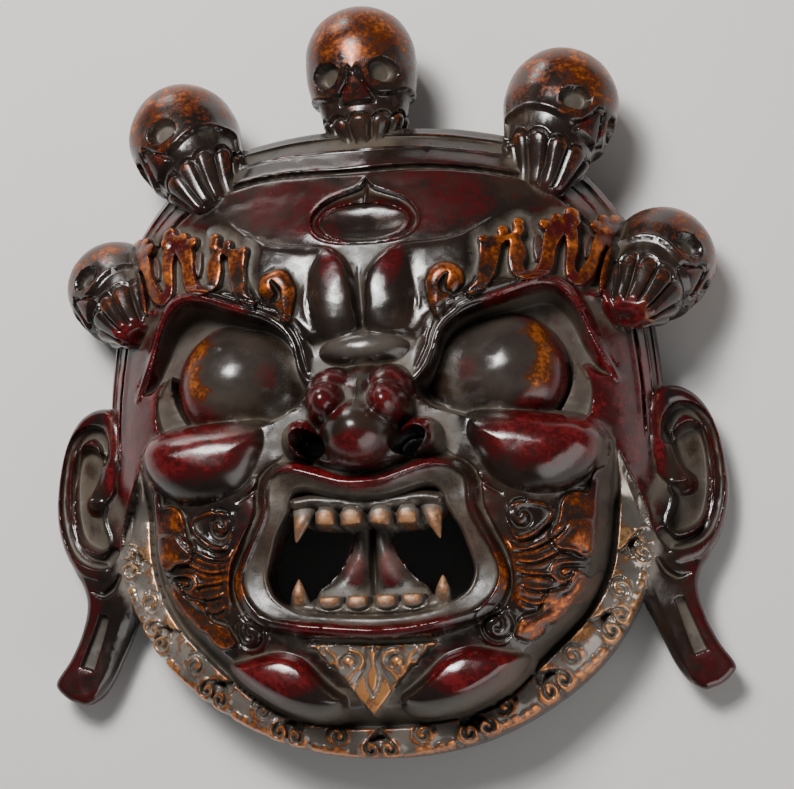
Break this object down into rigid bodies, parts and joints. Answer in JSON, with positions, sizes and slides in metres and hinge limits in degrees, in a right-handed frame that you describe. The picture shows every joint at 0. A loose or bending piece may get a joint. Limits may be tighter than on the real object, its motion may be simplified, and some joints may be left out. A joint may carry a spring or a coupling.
{
  "type": "bhairab mask",
  "caption": "Carved and lacquered wooden mask of a wrathful three-eyed guardian, open fanged mouth, flame brows, skull crown, long ears and curled beard fringe, hollow behind.",
  "frame": {"origin": "centre of the mask's box in plan, on the flat back rim", "axes": "+X to the viewer's right, +Y from the chin to the crown, +Z out of the face"},
  "size_m": [0.415, 0.459, 0.1561],
  "materials": {
    "lacquered_wood": "aged dark lacquer with worn red and gold"
  },
  "bodies": {
    "root": {"mask": "lacquered_wood"}
  },
  "joints": []
}
